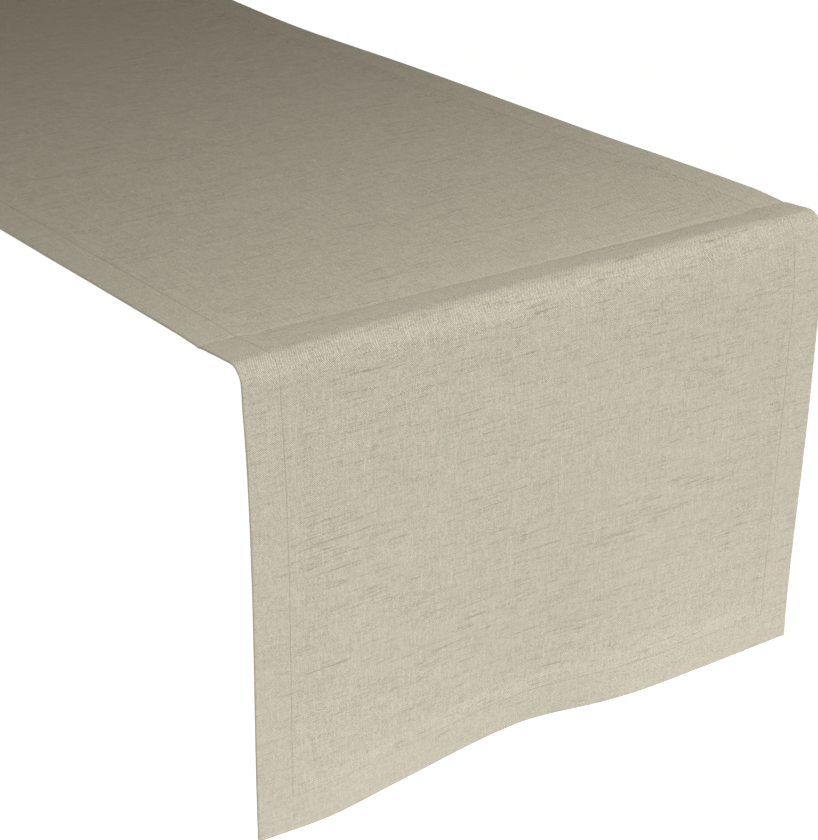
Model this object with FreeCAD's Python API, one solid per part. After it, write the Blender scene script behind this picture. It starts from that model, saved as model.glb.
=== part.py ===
import FreeCAD, Part
import math
import os

# A linen table runner draped over a table, with both ends hanging down.
# +X runs along the runner to its near end, +Y across it to the right, and +Z up.
# The origin is the middle of the underside that lies on the table top.
# Sizes are in millimetres.

# Driving dimensions
RUNNER_WIDTH = 406.0     # between the edge folds of the two long hems
RUNNER_LENGTH = 1829.0   # between the edge folds of the two end hems, along the cloth
DROP = 290.0             # from the table top down to an end's fold
EDGE_RADIUS = 14.0       # radius that the cloth's underside rolls round at the table's end
CLOTH_THICKNESS = 0.5
HEM_WIDTH = 25.0         # from the edge fold to the hem's inner fold
RAW_EDGE_INSET = 3.0     # from the edge fold in to the raw edge tucked inside the hem
HEM_SLOPE = 4.0          # width over which the cloth comes down from the hem to the table
STITCH_INSET = 2.0       # from the hem's inner fold out to the seam
THREAD_WIDTH = 0.4
THREAD_HEIGHT = 0.3
THREAD_BED = 0.15        # how deep a stitch sinks into the cloth

# Clearances
LAYER_GAP = 0.05         # between layers of cloth that lie on each other
THREAD_GAP = 0.02        # on each side of a thread in its bed
BODY_GAP = 0.3           # between a hanging drop and the bend above it

# Sizes that follow
QUARTER_TURN = 90.0
HEM_RISE = 2 * (CLOTH_THICKNESS + LAYER_GAP)
HEM_STACK = HEM_RISE + CLOTH_THICKNESS
FOLD_RADIUS = HEM_STACK / 2
INNER_FOLD_RADIUS = CLOTH_THICKNESS + LAYER_GAP / 2
SEAM = HEM_WIDTH - STITCH_INSET
HALF_WIDTH = RUNNER_WIDTH / 2
BEND_ARC = math.pi / 2 * (EDGE_RADIUS + CLOTH_THICKNESS / 2)
FALL = DROP - EDGE_RADIUS
TOP_LENGTH = RUNNER_LENGTH - 2 * (BEND_ARC + FALL)
HALF_TOP = TOP_LENGTH / 2
BORDER = HEM_WIDTH + HEM_SLOPE

X_AXIS = FreeCAD.Vector(1, 0, 0)
Y_AXIS = FreeCAD.Vector(0, 1, 0)
Z_AXIS = FreeCAD.Vector(0, 0, 1)
ORIGIN = FreeCAD.Vector(0, 0, 0)
BEND_CENTRE = FreeCAD.Vector(0, 0, -EDGE_RADIUS)


def outline(start, *steps):
    """A flat face in the XZ plane. A step is a point, or (point on the way, point) for an arc."""
    here = FreeCAD.Vector(start[0], 0, start[1])
    edges = []
    for step in steps:
        if isinstance(step[0], tuple):
            way, end = (FreeCAD.Vector(p[0], 0, p[1]) for p in step)
            edges.append(Part.Arc(here, way, end).toShape())
        else:
            end = FreeCAD.Vector(step[0], 0, step[1])
            edges.append(Part.LineSegment(here, end).toShape())
        here = end
    return Part.Face(Part.Wire(edges))


# Each profile below is a section through one edge of the runner.
# Its first number is the distance in from the edge fold, its second the height above the table.

def cloth_profile():
    """The runner's upper layer, from the edge fold in to the middle, with the seam's bed in its top."""
    top = HEM_STACK
    bed = top - THREAD_BED
    seam_out = SEAM - THREAD_WIDTH / 2
    seam_in = SEAM + THREAD_WIDTH / 2
    return outline(
        (FOLD_RADIUS, HEM_RISE),
        (HEM_WIDTH, HEM_RISE),
        (BORDER, 0),
        (HALF_WIDTH, 0),
        (HALF_WIDTH, CLOTH_THICKNESS),
        (BORDER, CLOTH_THICKNESS),
        (HEM_WIDTH, top),
        (seam_in, top),
        (seam_in, bed),
        (seam_out, bed),
        (seam_out, top),
        (FOLD_RADIUS, top),
        (FOLD_RADIUS, HEM_RISE),
    )


def hem_profile():
    """The margin turned under twice: round the edge fold, back in, round the inner fold and out again."""
    inner = HEM_WIDTH - INNER_FOLD_RADIUS
    tucked_under = CLOTH_THICKNESS + LAYER_GAP
    tucked_top = 2 * INNER_FOLD_RADIUS
    seam_out = SEAM - THREAD_WIDTH / 2
    seam_in = SEAM + THREAD_WIDTH / 2
    return outline(
        (FOLD_RADIUS, 0),
        (seam_out, 0),
        (seam_out, THREAD_BED),
        (seam_in, THREAD_BED),
        (seam_in, 0),
        (inner, 0),
        ((HEM_WIDTH, INNER_FOLD_RADIUS), (inner, tucked_top)),
        (RAW_EDGE_INSET, tucked_top),
        (RAW_EDGE_INSET, tucked_under),
        (inner, tucked_under),
        (inner, CLOTH_THICKNESS),
        (FOLD_RADIUS, CLOTH_THICKNESS),
        ((CLOTH_THICKNESS, FOLD_RADIUS), (FOLD_RADIUS, HEM_RISE)),
        (FOLD_RADIUS, HEM_STACK),
        ((0, FOLD_RADIUS), (FOLD_RADIUS, 0)),
    )


def needle_thread_profile():
    """The upper thread, bedded in the cloth's top and rounded where it stands proud."""
    out = SEAM - THREAD_WIDTH / 2 + THREAD_GAP
    back = SEAM + THREAD_WIDTH / 2 - THREAD_GAP
    floor = HEM_STACK - THREAD_BED
    return outline(
        (out, floor),
        (back, floor),
        (back, HEM_STACK),
        ((SEAM, floor + THREAD_HEIGHT), (out, HEM_STACK)),
        (out, floor),
    )


def bobbin_thread_profile():
    """The lower thread, pressed flush into the hem's underside."""
    out = SEAM - THREAD_WIDTH / 2 + THREAD_GAP
    back = SEAM + THREAD_WIDTH / 2 - THREAD_GAP
    return outline((out, 0), (back, 0), (back, THREAD_BED), (out, THREAD_BED), (out, 0))


def on_right(profile, start):
    """The profile stood across the runner's right edge, at a distance along the cloth."""
    face = profile.copy()
    face.rotate(ORIGIN, Z_AXIS, -QUARTER_TURN)
    face.translate(FreeCAD.Vector(start, HALF_WIDTH, 0))
    return face


def mirrored(shape, normal):
    """The same shape on the other side of the runner's middle."""
    return shape.mirror(ORIGIN, normal)


def along_right(profile, start, end):
    """The profile carried straight along the right edge."""
    return on_right(profile, start).extrude(X_AXIS * (end - start))


def round_right(profile):
    """The profile carried round the table's edge, which it reaches at x = 0."""
    return on_right(profile, 0).revolve(BEND_CENTRE, Y_AXIS, QUARTER_TURN)


def along_end(profile):
    """The profile carried across the runner's end, at x = FALL."""
    face = profile.copy()
    face.rotate(ORIGIN, Z_AXIS, 2 * QUARTER_TURN)
    face.translate(FreeCAD.Vector(FALL, -HALF_WIDTH, 0))
    return face.extrude(Y_AXIS * RUNNER_WIDTH)


def end_zone():
    """The block that takes in the end hem as far as its mitres with the side hems."""
    below = -HEM_STACK
    corners = [
        (FALL, -HALF_WIDTH),
        (FALL, HALF_WIDTH),
        (FALL - BORDER, HALF_WIDTH - BORDER),
        (FALL - BORDER, BORDER - HALF_WIDTH),
    ]
    points = [FreeCAD.Vector(x, y, below) for x, y in corners]
    face = Part.Face(Part.makePolygon(points + points[:1]))
    return face.extrude(Z_AXIS * (3 * HEM_STACK))


def whole_width(right_half):
    """A right half and its mirror image, joined down the runner's middle."""
    return right_half.fuse(mirrored(right_half, Y_AXIS)).removeSplitter()


EDGE_PIECES = {
    "hem": hem_profile(),
    "needle_thread": needle_thread_profile(),
    "bobbin_thread": bobbin_thread_profile(),
}


def flat_stretch(prefix, start, end):
    """The pieces of a straight stretch between two distances along the cloth."""
    pieces = {prefix + "_cloth": whole_width(along_right(cloth_profile(), start, end))}
    for kind, profile in EDGE_PIECES.items():
        right = along_right(profile, start, end)
        pieces[f"{prefix}_right_{kind}"] = right
        pieces[f"{prefix}_left_{kind}"] = mirrored(right, Y_AXIS)
    return pieces


def bent_stretch(prefix):
    """The pieces of the quarter turn over the table's edge."""
    pieces = {prefix + "_cloth": whole_width(round_right(cloth_profile()))}
    for kind, profile in EDGE_PIECES.items():
        right = round_right(profile)
        pieces[f"{prefix}_right_{kind}"] = right
        pieces[f"{prefix}_left_{kind}"] = mirrored(right, Y_AXIS)
    return pieces


def hanging_stretch(prefix):
    """The pieces of a drop, laid flat: a straight stretch whose far end is hemmed and mitred."""
    zone = end_zone()
    pieces = {}
    for name, piece in flat_stretch(prefix, BODY_GAP, FALL).items():
        pieces[name] = piece.cut(zone)
    end_cloth = along_end(cloth_profile()).common(zone)
    joined = pieces[prefix + "_cloth"].fuse(end_cloth).removeSplitter()
    pieces[prefix + "_cloth"] = joined
    for kind, profile in EDGE_PIECES.items():
        pieces[f"{prefix}_end_{kind}"] = along_end(profile).common(zone)
    return pieces


def hung(piece):
    """A piece of a drop, turned to hang from the near end of the table."""
    turned = piece.copy()
    turned.rotate(ORIGIN, Y_AXIS, QUARTER_TURN)
    turned.translate(FreeCAD.Vector(HALF_TOP + EDGE_RADIUS, 0, -EDGE_RADIUS))
    return turned


def runner():
    """Every piece of the runner in place, by name."""
    pieces = flat_stretch("top", -HALF_TOP, HALF_TOP)
    for name, piece in bent_stretch("near_bend").items():
        near = piece.copy()
        near.translate(X_AXIS * HALF_TOP)
        pieces[name] = near
        pieces[name.replace("near", "far")] = mirrored(near, X_AXIS)
    for name, piece in hanging_stretch("near_drop").items():
        near = hung(piece)
        pieces[name] = near
        pieces[name.replace("near", "far")] = mirrored(near, X_AXIS)
    return pieces


def hinge_place():
    """Where a drop turns so that the cloth between it and the top keeps its length: x and z, near end."""
    middle = EDGE_RADIUS + CLOTH_THICKNESS / 2
    x = HALF_TOP + middle * math.pi / 4
    z = CLOTH_THICKNESS / 2 + middle * (math.pi / 4 - 1)
    return x, z


os.makedirs("parts", exist_ok=True)
for name, shape in runner().items():
    solids = shape.Solids
    if len(solids) != 1 or not solids[0].isValid():
        raise ValueError(f"{name} came out as {len(solids)} solids, or isn't valid")
    solids[0].exportStep(f"parts/{name}.step")
    print(f"{name}: {solids[0].Volume:.1f} mm3")
print("top length %.3f, bend arc %.3f, fall %.3f" % (TOP_LENGTH, BEND_ARC, FALL))
print("hinge x %.4f, z %.4f" % hinge_place())
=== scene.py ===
import logging
import math
from collections.abc import Callable, Iterable, Sequence
from dataclasses import dataclass, field
from enum import Enum

import bmesh
import bpy
from mathutils import Matrix, Vector, noise


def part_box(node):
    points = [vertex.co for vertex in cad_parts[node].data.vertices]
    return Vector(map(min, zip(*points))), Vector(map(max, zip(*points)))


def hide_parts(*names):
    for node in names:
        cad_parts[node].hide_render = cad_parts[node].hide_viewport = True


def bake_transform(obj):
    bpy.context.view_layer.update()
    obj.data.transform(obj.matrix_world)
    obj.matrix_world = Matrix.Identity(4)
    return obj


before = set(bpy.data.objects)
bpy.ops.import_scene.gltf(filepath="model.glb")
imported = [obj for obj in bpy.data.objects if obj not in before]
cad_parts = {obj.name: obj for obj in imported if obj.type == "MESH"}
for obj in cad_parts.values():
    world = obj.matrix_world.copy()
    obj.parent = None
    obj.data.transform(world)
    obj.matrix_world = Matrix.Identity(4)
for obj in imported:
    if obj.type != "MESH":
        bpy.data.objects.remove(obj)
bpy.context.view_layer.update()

LOG = logging.getLogger("table_runner")
MM = 0.001
MM_PER_METRE = 1000.0
CLOTH_UV = "Cloth"
SAME_PLACE = 1e-7
BELLY_PEAK = 27 / 4  # brings the highest point of share * (1 - share) ** 2 up to 1


class Half(Enum):
    """The two halves of the runner, which meet at the middle of the table."""

    NEAR = 1
    FAR = -1

    @property
    def word(self) -> str:
        """The half's name, as its nodes begin."""
        return self.name.lower()

    @property
    def drop_body(self) -> str:
        """The body that the half's hanging end belongs to."""
        return self.word + "_drop"


class Side(Enum):
    """The two long edges of the runner."""

    LEFT = -1
    RIGHT = 1

    @property
    def word(self) -> str:
        """The side's name, as in the names of nodes."""
        return self.name.lower()


class Face(Enum):
    """The two faces of a hem that a row of lockstitches shows on."""

    NEEDLE = "needle"
    BOBBIN = "bobbin"


def smooth(value: float, start: float, end: float) -> float:
    """Rises smoothly from 0 at start to 1 at end.

    Args:
        value: The place to look at.
        start: Where the rise begins.
        end: Where the rise is complete. It may be below start.

    Returns:
        A share from 0 to 1.
    """
    share = min(1.0, max(0.0, (value - start) / (end - start)))
    return share * share * (3 - 2 * share)


def blend_sizes(low: float, high: float, share: float) -> float:
    """The size a share of the way from low to high."""
    return low + (high - low) * share


def bell(value: float, middle: float, width: float) -> float:
    """A bell curve of height 1 and the given standard width."""
    return math.exp(-0.5 * ((value - middle) / width) ** 2)


def stations(*stretches: tuple[float, float], start: float = 0.0) -> list[float]:
    """Positions along a line made of stretches, each evenly divided.

    Args:
        stretches: The end of each stretch and the spacing wanted in it.
        start: Where the first stretch begins.

    Returns:
        The positions, from start to the end of the last stretch.
    """
    places = [start]
    for end, spacing in stretches:
        begin = places[-1]
        steps = max(1, round((end - begin) / spacing))
        places += [begin + (end - begin) * step / steps for step in range(1, steps + 1)]
    return places


# ---------------------------------------------------------------- the cloth's sizes and its lie


@dataclass(frozen=True)
class Cut:
    """The runner's flat sizes, in metres: what it measures before it is laid on a table."""

    half_width: float
    half_top: float
    bend_radius: float
    drop: float
    thickness: float = 0.5 * MM
    layer_gap: float = 0.05 * MM
    hem_width: float = 25 * MM
    raw_edge: float = 3 * MM
    hem_slope: float = 9 * MM
    seam: float = 23 * MM

    @property
    def bend_arc(self) -> float:
        """The length of cloth in the quarter turn over the table's edge."""
        return math.pi / 2 * (self.bend_radius + self.thickness / 2)

    @property
    def half_length(self) -> float:
        """From the middle of the runner to the fold at its end, along the cloth."""
        return self.half_top + self.bend_arc + self.drop - self.bend_radius

    @property
    def hem_rise(self) -> float:
        """How far the two turned layers lift the cloth above them."""
        return 2 * (self.thickness + self.layer_gap)

    @property
    def stack(self) -> float:
        """The whole thickness of a hem."""
        return self.hem_rise + self.thickness

    @property
    def fold(self) -> float:
        """The outer radius of the edge fold."""
        return self.stack / 2

    def inward(self, across: float, along: float) -> float:
        """How far in a place lies from the nearest fold."""
        return min(self.half_width - abs(across), self.half_length - along)

    def rise(self, inward: float) -> float:
        """The height of the cloth's face, at a distance in from the nearest fold."""
        over_hem = 1 - smooth(inward, self.hem_width, self.hem_width + self.hem_slope)
        return self.thickness + self.hem_rise * over_hem


@dataclass(frozen=True)
class Lie:
    """How one end of the cloth lies and hangs. Lengths are in metres.

    Pairs are left and right, and threes are left, middle and right, except where an attribute is said
    to be something else.

    Attributes:
        ridge: The height of the slack that stands up behind the table's edge.
        ridge_fall: How far the ridge takes to run out at its front.
        crease: How far behind the drop the slack ends.
        swell: The height of the cloth's low rise behind the crease.
        belly: How far the drop bulges out.
        hem_tuck: How far the drop's end is tucked in, at tuck_place across and over tuck_flanks.
        corner_lift: How far the end stands out again, at corner_place across and over corner_width.
        side_tuck: How far the drop's end leans out at its two edges, or in where negative.
        seed: Where the ripple is cut from the noise.
        swollen: Where the ridge is higher: the place across, the width and the extra height.
        crest: How far behind the drop the ridge is highest.
        jut: How far the turn pushes forward.
        turn_radius: The radius of the turn itself.
        jut_ends: Where the push is full and where it has run out, as distances along the cloth behind
            the drop's plane. Negative ones are down the drop.
        slope_power: How the ridge's back is curved, straight at 1.
        pinch: The depth of the crease, and pinch_width its standard width.
        swell_ends: How far behind the crease the low rise is full, begins to fall and is over.
        tuck_power: How late down the drop the tuck sets in.
        ripple: The height of the unevenness on the table, and ripple_size how far it is from one to
            the next, across and along.
        ripple_ends: Where it sets in and is full, from the middle of the table.
    """

    ridge: tuple[float, float, float]
    ridge_fall: tuple[float, float]
    crease: tuple[float, float]
    swell: tuple[float, float]
    belly: tuple[float, float]
    hem_tuck: float
    tuck_place: float
    tuck_flanks: tuple[float, float]
    corner_lift: float
    corner_place: float
    side_tuck: tuple[float, float]
    seed: float
    swollen: tuple[float, float, float]
    crest: tuple[float, float, float] = (9 * MM, 10 * MM, 6 * MM)
    jut: tuple[float, float, float] = (1.0 * MM, 1.5 * MM, 2.5 * MM)
    turn_radius: tuple[float, float, float] = (9 * MM, 12 * MM, 6.5 * MM)
    jut_ends: tuple[float, float] = (-6 * MM, -110 * MM)
    slope_power: float = 1.15
    pinch: float = 0.45 * MM
    pinch_width: float = 1.7 * MM
    swell_ends: tuple[float, float, float] = (28 * MM, 50 * MM, 190 * MM)
    corner_width: float = 26 * MM
    tuck_power: float = 2.0
    ripple: float = 0.35 * MM
    ripple_size: tuple[float, float] = (70 * MM, 55 * MM)
    ripple_ends: tuple[float, float] = (30 * MM, 160 * MM)


@dataclass(frozen=True)
class Stray:
    """A stretch of one long edge that strays sideways, outwards where amount is positive."""

    side: Side
    place: float
    width: float
    amount: float


@dataclass(frozen=True)
class Drape:
    """Carries points of the flat cloth to where they lie over the table."""

    cut: Cut
    half: Half
    lie: Lie
    strays: tuple[Stray, ...]

    def _across_share(self, across: float) -> float:
        """How far a place is from the left edge to the right one, as a share."""
        return 0.5 + 0.5 * across / self.cut.half_width

    def _between(self, pair: tuple[float, float], across: float) -> float:
        """A left and right size, blended for a place across the runner."""
        return blend_sizes(pair[0], pair[1], self._across_share(across))

    def _arched(self, sizes: tuple[float, float, float], across: float) -> float:
        """Blends a left, middle and right size on one even curve.

        Args:
            sizes: The three sizes.
            across: The place across the runner.

        Returns:
            The size there.
        """
        share = self._across_share(across)
        left = (1 - share) * (1 - 2 * share) * sizes[0]
        right = share * (2 * share - 1) * sizes[2]
        return left + 4 * share * (1 - share) * sizes[1] + right

    def base(self, along: float) -> tuple[Vector, Vector]:
        """The plain path of the cloth's underside over the table.

        Args:
            along: The distance from the middle of the runner.

        Returns:
            The point of the path and the direction out of the cloth's face there.
        """
        cut = self.cut
        past = along - cut.half_top
        if past <= 0:
            return Vector((along, 0, 0)), Vector((0, 0, 1))
        if past < cut.bend_arc:
            turn = past / cut.bend_arc * math.pi / 2
            out = Vector((math.sin(turn), 0, math.cos(turn)))
            centre = Vector((cut.half_top, 0, -cut.bend_radius))
            return centre + out * cut.bend_radius, out
        hung = past - cut.bend_arc
        return Vector((cut.half_top + cut.bend_radius, 0, -cut.bend_radius - hung)), Vector((1, 0, 0))

    def _ridge(self, across: float, behind: float) -> float:
        """The soft roll of slack that stands up just behind the table's edge.

        Args:
            across: The place across the runner.
            behind: The distance behind the plane of the drop, along the cloth.

        Returns:
            How high the slack stands there.
        """
        lie = self.lie
        place, width, extra = lie.swollen
        height = self._arched(lie.ridge, across) + extra * bell(across, place, width)
        crease = self._between(lie.crease, across)
        crest = self._arched(lie.crest, across)
        pinch = -lie.pinch * bell(behind, crease, lie.pinch_width)
        if behind > crease:
            return pinch
        if behind > crest:
            down = ((behind - crest) / (crease - crest)) ** lie.slope_power
            return pinch + height * (1 - down)
        fall = self._between(lie.ridge_fall, across)
        return height * (1 - smooth(crest - behind, 0, fall))

    def _jut(self, across: float, behind: float) -> float:
        """How far the turn itself pushes forward of the plain path.

        Args:
            across: The place across the runner.
            behind: The distance behind the plane of the drop, along the cloth.

        Returns:
            How far the cloth is pushed out of its face there.
        """
        full, over = self.lie.jut_ends
        out = smooth(behind, self.cut.bend_radius, full)
        return self._arched(self.lie.jut, across) * out * (1 - smooth(behind, full, over))

    def _tighten(self, across: float, along: float) -> float:
        """How far the cloth stands off its plain round turn where it bends more tightly.

        Args:
            across: The place across the runner.
            along: The distance from the middle of the table.

        Returns:
            How far the tighter turn lies outside the plain one there.
        """
        plain = self.cut.bend_radius
        tight = self._arched(self.lie.turn_radius, across)
        turn = (along - self.cut.half_top) / self.cut.bend_arc * math.pi / 2
        if not 0 < turn < math.pi / 2:
            return 0.0
        short_of_end = min(turn, math.pi / 2 - turn)
        if short_of_end < math.atan2(plain - tight, plain):
            return plain / math.cos(short_of_end) - plain
        reach = math.sqrt(2) * (plain - tight)
        swing = turn - math.pi / 4
        to_chord = reach * math.cos(swing)
        return to_chord + math.sqrt(tight ** 2 - (reach * math.sin(swing)) ** 2) - plain

    def _swell(self, across: float, behind: float) -> float:
        """The low rise of the cloth on the table before it dips to the crease.

        Args:
            across: The place across the runner.
            behind: The distance behind the plane of the drop, along the cloth.

        Returns:
            How high the cloth rises there.
        """
        crease = self._between(self.lie.crease, across)
        height = self._between(self.lie.swell, across)
        if behind < crease:
            return 0.0
        full, falls, over = self.lie.swell_ends
        up = smooth(behind, crease, crease + full)
        down = 1 - smooth(behind, crease + falls, crease + over)
        return height * up * down

    def _hang(self, across: float, share: float) -> float:
        """How far the hanging cloth stands off its plane.

        Args:
            across: The place across the runner.
            share: How far down the drop, from 0 at the turn to 1 at the end.

        Returns:
            How far it stands out, or in where it is negative.
        """
        lie = self.lie
        slack = self._between(lie.belly, across) * BELLY_PEAK * share * (1 - share) ** 2
        flank = lie.tuck_flanks[0] if across < lie.tuck_place else lie.tuck_flanks[1]
        tuck = -lie.hem_tuck * bell(across, lie.tuck_place, flank)
        tuck += lie.corner_lift * bell(across, lie.corner_place, lie.corner_width)
        tuck += self._between(lie.side_tuck, across)
        return slack + tuck * share ** lie.tuck_power

    def lift(self, across: float, along: float) -> float:
        """How far the cloth stands off its plain path, out of its face.

        Args:
            across: The place across the runner.
            along: The distance from the middle of the table.

        Returns:
            The sum of all that lifts the cloth there.
        """
        cut = self.cut
        lie = self.lie
        behind = cut.half_top + cut.bend_radius - along
        sets_in = smooth(along, *lie.ripple_ends)
        place = Vector((across / lie.ripple_size[0], along / lie.ripple_size[1], lie.seed))
        raised = self._ridge(across, behind) + self._swell(across, behind)
        raised += self._jut(across, behind) + self._tighten(across, along)
        raised += lie.ripple * sets_in * (0.5 + 0.5 * noise.noise(place))
        middle_of_turn = cut.half_top + cut.bend_arc / 2
        if along > middle_of_turn:
            raised += self._hang(across, (along - middle_of_turn) / (cut.half_length - middle_of_turn))
        return raised

    def spread(self, across: float, along: float) -> float:
        """How far the cloth strays sideways, most at its edges.

        Args:
            across: The place across the runner.
            along: The distance from the middle of the table.

        Returns:
            The distance to the right.
        """
        side = Side.LEFT if across < 0 else Side.RIGHT
        outer = smooth(abs(across), 0, self.cut.half_width)
        place = along * self.half.value
        strays = (stray for stray in self.strays if stray.side is side)
        out = sum(stray.amount * bell(place, stray.place, stray.width) for stray in strays)
        return side.value * outer * out

    def place(self, across: float, along: float, height: float) -> Vector:
        """Where a point of the cloth lies.

        Args:
            across: The distance from the runner's middle line, to the right.
            along: The distance from the middle of the table.
            height: The distance out from the plain underside.

        Returns:
            The point in the model's frame.
        """
        point, out = self.base(along)
        point = point + out * (height + self.lift(across, along))
        point.y = across + self.spread(across, along)
        point.x *= self.half.value
        return point


# ---------------------------------------------------------------- mesh helpers


@dataclass
class Flat:
    """A mesh drawn on the flat cloth: x is across, y along and z out of the cloth's face."""

    mesh: bmesh.types.BMesh = field(default_factory=bmesh.new)

    def __post_init__(self) -> None:
        """Adds the layer that keeps each point's place on the cloth's weave."""
        self.weave = self.mesh.verts.layers.float_vector.new("weave")

    def mark_weave(self) -> None:
        """Notes where each point lies on the weave, which is its place on the flat cloth."""
        for vert in self.mesh.verts:
            vert[self.weave] = (vert.co.x, vert.co.y, 0)

    def lay(self, name: str, drape: Drape, sharp: float = 50.0) -> bpy.types.Object:
        """Drapes the mesh and makes it an object.

        Args:
            name: The piece's name.
            drape: What carries its points to their places.
            sharp: The angle in degrees from which an edge shows as sharp.

        Returns:
            The finished piece.
        """
        bm = self.mesh
        uv_layer = bm.loops.layers.uv.new(CLOTH_UV)
        for face in bm.faces:
            face.smooth = True
            for loop in face.loops:
                across, along, _ = loop.vert[self.weave]
                loop[uv_layer].uv = (across, along * drape.half.value)
        for vert in bm.verts:
            vert.co = drape.place(*vert.co)
        bm.verts.layers.float_vector.remove(self.weave)
        bmesh.ops.recalc_face_normals(bm, faces=bm.faces)
        data = bpy.data.meshes.new(name)
        bm.to_mesh(data)
        bm.free()
        data.set_sharp_from_angle(angle=math.radians(sharp))
        piece = bpy.data.objects.new(name, data)
        bpy.context.scene.collection.objects.link(piece)
        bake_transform(piece)
        return piece


def arc(
    centre: tuple[float, float],
    radius: float,
    start: float,
    end: float,
    steps: int,
) -> list[tuple[float, float]]:
    """Points round a part of a circle.

    Args:
        centre: The circle's centre.
        radius: Its radius.
        start: The first point's angle in degrees, anticlockwise from the first axis.
        end: The last point's angle.
        steps: The number of straight runs between them.

    Returns:
        The points, first and last among them.
    """
    angles = [math.radians(blend_sizes(start, end, step / steps)) for step in range(steps + 1)]
    return [(centre[0] + radius * math.cos(a), centre[1] + radius * math.sin(a)) for a in angles]


# ---------------------------------------------------------------- shader helpers


class Bench:
    """A material under construction."""

    def __init__(self, name: str) -> None:
        """Starts an empty material.

        Args:
            name: The material's name.
        """
        self.material = bpy.data.materials.new(name)
        self.material.use_nodes = True
        self.tree = self.material.node_tree
        self.tree.nodes.clear()

    def node(
        self,
        kind: str,
        settings: dict[str, object] | None = None,
        sockets: dict[str | int, object] | None = None,
    ) -> bpy.types.Node:
        """Adds a node.

        Args:
            kind: The node's type, such as ShaderNodeTexNoise.
            settings: Its properties, which are set before its sockets.
            sockets: The values or links of its inputs, by name or number.

        Returns:
            The node.
        """
        made = self.tree.nodes.new(kind)
        for key, value in (settings or {}).items():
            setattr(made, key, value)
        for key, value in (sockets or {}).items():
            socket = made.inputs[key]
            if isinstance(value, Signal):
                self.tree.links.new(value.socket, socket)
            elif isinstance(value, bpy.types.NodeSocket):
                self.tree.links.new(value, socket)
            else:
                socket.default_value = value
        return made

    def signal(self, node: bpy.types.Node, output: str | int = 0) -> "Signal":
        """One of a node's outputs, ready for sums."""
        return Signal(self, node.outputs[output])

    def weave_place(self) -> tuple["Signal", "Signal"]:
        """Looks up the place on the weave.

        Returns:
            The distances across and along, in millimetres.
        """
        uv = self.node("ShaderNodeUVMap", {"uv_map": CLOTH_UV})
        parts = self.node("ShaderNodeSeparateXYZ", sockets={0: uv.outputs[0]})
        return self.signal(parts, 0) * MM_PER_METRE, self.signal(parts, 1) * MM_PER_METRE

    def point(self, x: "Signal | float", y: "Signal | float", z: "Signal | float" = 0.0) -> "Signal":
        """A vector put together from three numbers."""
        return self.signal(self.node("ShaderNodeCombineXYZ", sockets={0: x, 1: y, 2: z}))

    def stretched(
        self,
        across: "Signal",
        along: "Signal",
        size: tuple[float, float],
        layer: float = 0.0,
    ) -> "Signal":
        """A place for noise whose features have a size across and along.

        Args:
            across: The place across the weave.
            along: The place along it.
            size: The features' size across and along.
            layer: Which layer of the noise is used, so that no two patterns are alike.

        Returns:
            The place.
        """
        return self.point(across / size[0], along / size[1], layer)

    def noise(self, place: "Signal", detail: float = 2.0, roughness: float = 0.5) -> bpy.types.Node:
        """Adds smooth noise with features about one unit of place in size.

        Args:
            place: Where the noise is looked up.
            detail: How many finer layers are added.
            roughness: How strong the finer layers are.

        Returns:
            The node, whose outputs are the strength and a colour of three noises.
        """
        settings = {"noise_dimensions": "3D", "normalize": True}
        sockets = {"Vector": place, "Scale": 1.0, "Detail": detail, "Roughness": roughness}
        return self.node("ShaderNodeTexNoise", settings, sockets)

    def grain(self, place: "Signal", detail: float = 2.0, roughness: float = 0.5) -> "Signal":
        """The noise's strength, about 0 to 1."""
        return self.signal(self.noise(place, detail, roughness), 0)

    def rise(self, value: "Signal", low: float, high: float) -> "Signal":
        """Rises smoothly from 0 where value is low to 1 where it is high."""
        settings = {"interpolation_type": "SMOOTHSTEP"}
        return self.signal(self.node("ShaderNodeMapRange", settings, {0: value, 1: low, 2: high}))

    def mix(self, share: "Signal | float", first: object, second: object) -> "Signal":
        """Mixes two colours.

        Args:
            share: How much of the second there is.
            first: A colour, or a link to one.
            second: The other colour.

        Returns:
            The mixed colour.
        """
        settings = {"data_type": "RGBA", "blend_type": "MIX", "clamp_factor": True}
        return self.signal(self.node("ShaderNodeMix", settings, {0: share, 6: first, 7: second}), 2)

    def scale_colour(self, colour: object, factor: "Signal") -> "Signal":
        """A colour made lighter or darker by a factor."""
        node = self.node("ShaderNodeVectorMath", {"operation": "SCALE"}, {0: colour, "Scale": factor})
        return self.signal(node)

    def finish(self, shader: bpy.types.Node) -> bpy.types.Material:
        """Joins the shader to the output and gives back the material."""
        self.node("ShaderNodeOutputMaterial", sockets={"Surface": shader.outputs[0]})
        return self.material


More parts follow.
